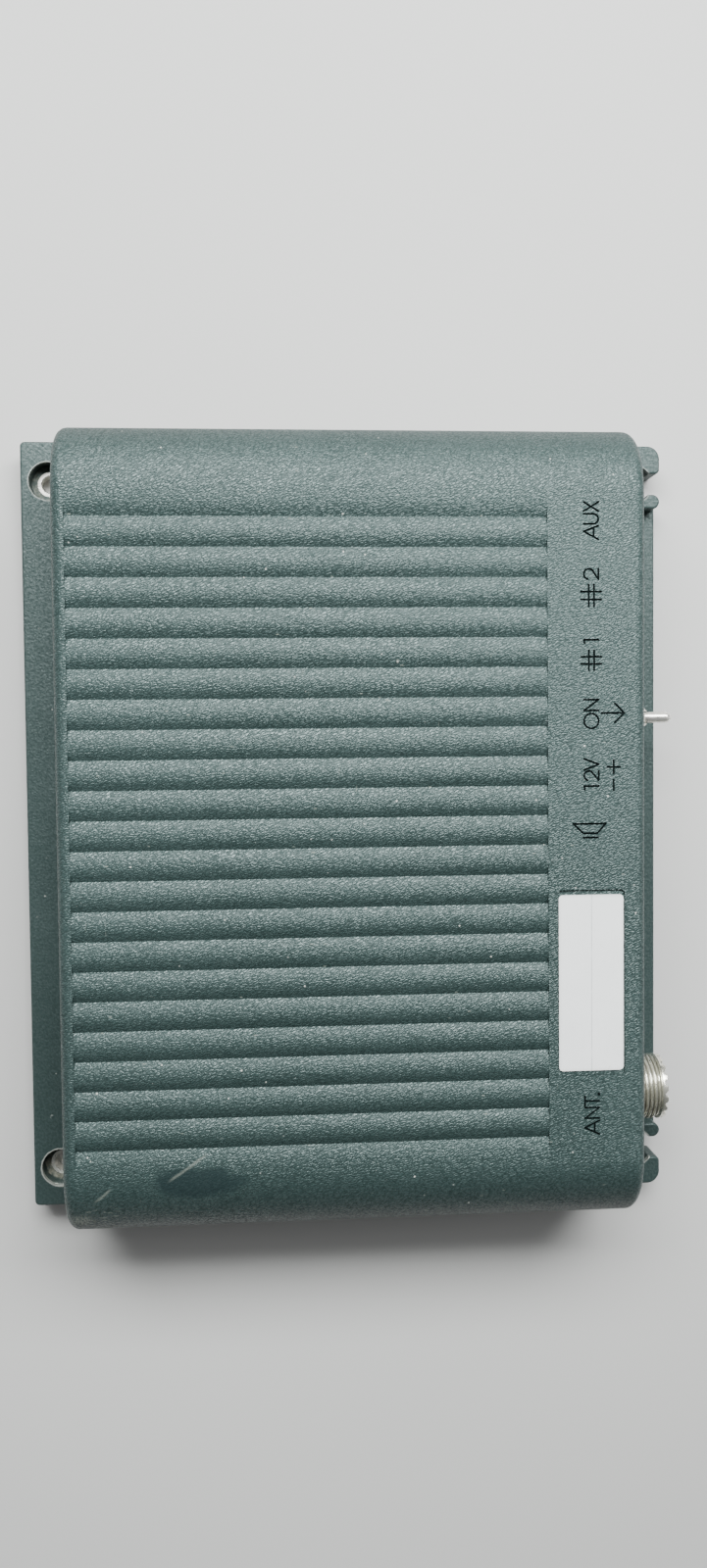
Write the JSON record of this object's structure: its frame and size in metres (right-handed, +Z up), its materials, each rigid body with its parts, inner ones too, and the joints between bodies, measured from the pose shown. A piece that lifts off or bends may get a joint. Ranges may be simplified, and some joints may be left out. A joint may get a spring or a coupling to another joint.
{
  "type": "vhf marine radio",
  "caption": "Flat marine VHF transceiver box: ribbed grained cover on a cast base with screw slots, toggle switch, coaxial antenna socket and sockets along the front edge.",
  "frame": {"origin": "middle of the footprint on the mounting face", "axes": "+X along the long side, -Y towards the socket side, +Z up from the mounting face"},
  "size_m": [0.19, 0.16, 0.0385],
  "materials": {
    "cover_plastic": "fine leather grain, satin",
    "base_paint": "fine texture paint",
    "panel_paint": "satin black",
    "label_foil": "satin foil",
    "gasket_rubber": "matt",
    "nickel": "nickel plate",
    "screw_steel": "zinc plated",
    "brass": "tinned brass",
    "gold_contact": "gold flash",
    "ptfe": "white fluoropolymer",
    "cable_jacket": "thin coaxial jacket",
    "socket_black": "moulded",
    "socket_nylon": "natural nylon",
    "switch_red": "phenolic",
    "board_laminate": "green solder mask",
    "module_white": "cap on metal flange",
    "tinplate": "tin plate",
    "bracket_aluminium": "mill finish",
    "ferrite": "ferrite core and winding as one ring",
    "capacitor_sleeve": "sleeved cans",
    "fuse_plastic": "tan"
  },
  "bodies": {
    "radio": {"base_chassis": "base_paint", "mount_bushes": "nickel", "cover_gasket": "gasket_rubber", "top_cover": "cover_plastic", "rating_label": "label_foil", "cover_inserts": "brass", "cover_screws": "screw_steel", "connector_panel": "panel_paint", "panel_screws": "screw_steel", "antenna_socket_shell": "nickel", "antenna_socket_nut": "nickel", "antenna_ground_tag": "brass", "antenna_socket_insulator": "ptfe", "antenna_socket_contact": "gold_contact", "antenna_coax": "cable_jacket", "handset_socket_1_shell": "nickel", "handset_socket_1_insert": "socket_black", "handset_socket_1_contacts": "gold_contact", "handset_socket_2_shell": "nickel", "handset_socket_2_insert": "socket_black", "handset_socket_2_contacts": "gold_contact", "aux_socket_shell": "nickel", "aux_socket_insert": "socket_black", "aux_socket_contacts": "gold_contact", "power_socket_housing": "socket_nylon", "power_socket_pins": "brass", "speaker_jack_barrel": "nickel", "speaker_jack_nut": "nickel", "speaker_jack_body": "socket_black", "toggle_bushing": "nickel", "toggle_washer": "nickel", "toggle_nut": "nickel", "toggle_pivot_pin": "screw_steel", "toggle_body": "switch_red", "toggle_terminals": "brass", "main_board": "board_laminate", "board_screws": "screw_steel", "rf_power_module": "module_white", "power_module_screws": "screw_steel", "synthesizer_shield": "tinplate", "synthesizer_shield_lid": "tinplate", "receiver_shield": "tinplate", "receiver_shield_lid": "tinplate", "filter_cans": "tinplate", "reference_crystal": "tinplate", "processor_chip": "socket_black", "logic_chips": "socket_black", "amplifier_bracket": "bracket_aluminium", "audio_amplifier": "socket_black", "amplifier_screws": "screw_steel", "toroid_choke": "ferrite", "electrolytic_capacitors": "capacitor_sleeve", "board_fuse": "fuse_plastic", "backup_cell": "tinplate", "protection_diode": "socket_black"},
    "switch_lever": {"toggle_lever": "nickel"},
    "switch_rocker": {"toggle_rocker": "brass"}
  },
  "joints": [
    {"name": "toggle_tilt", "type": "hinge", "parent": "radio", "child": "switch_lever", "pos_m": [0.026, -0.0685, 0.0165], "axis": [1, 0, 0], "range_deg": [0, 22]},
    {"name": "rocker_tilt", "type": "hinge", "parent": "radio", "child": "switch_rocker", "pos_m": [0.026, -0.0554, 0.0165], "axis": [1, 0, 0], "range_deg": [-14, 0]}
  ],
  "couplings": [
    {"joint": "rocker_tilt", "follows": "toggle_tilt", "ratio": -0.63636}
  ]
}
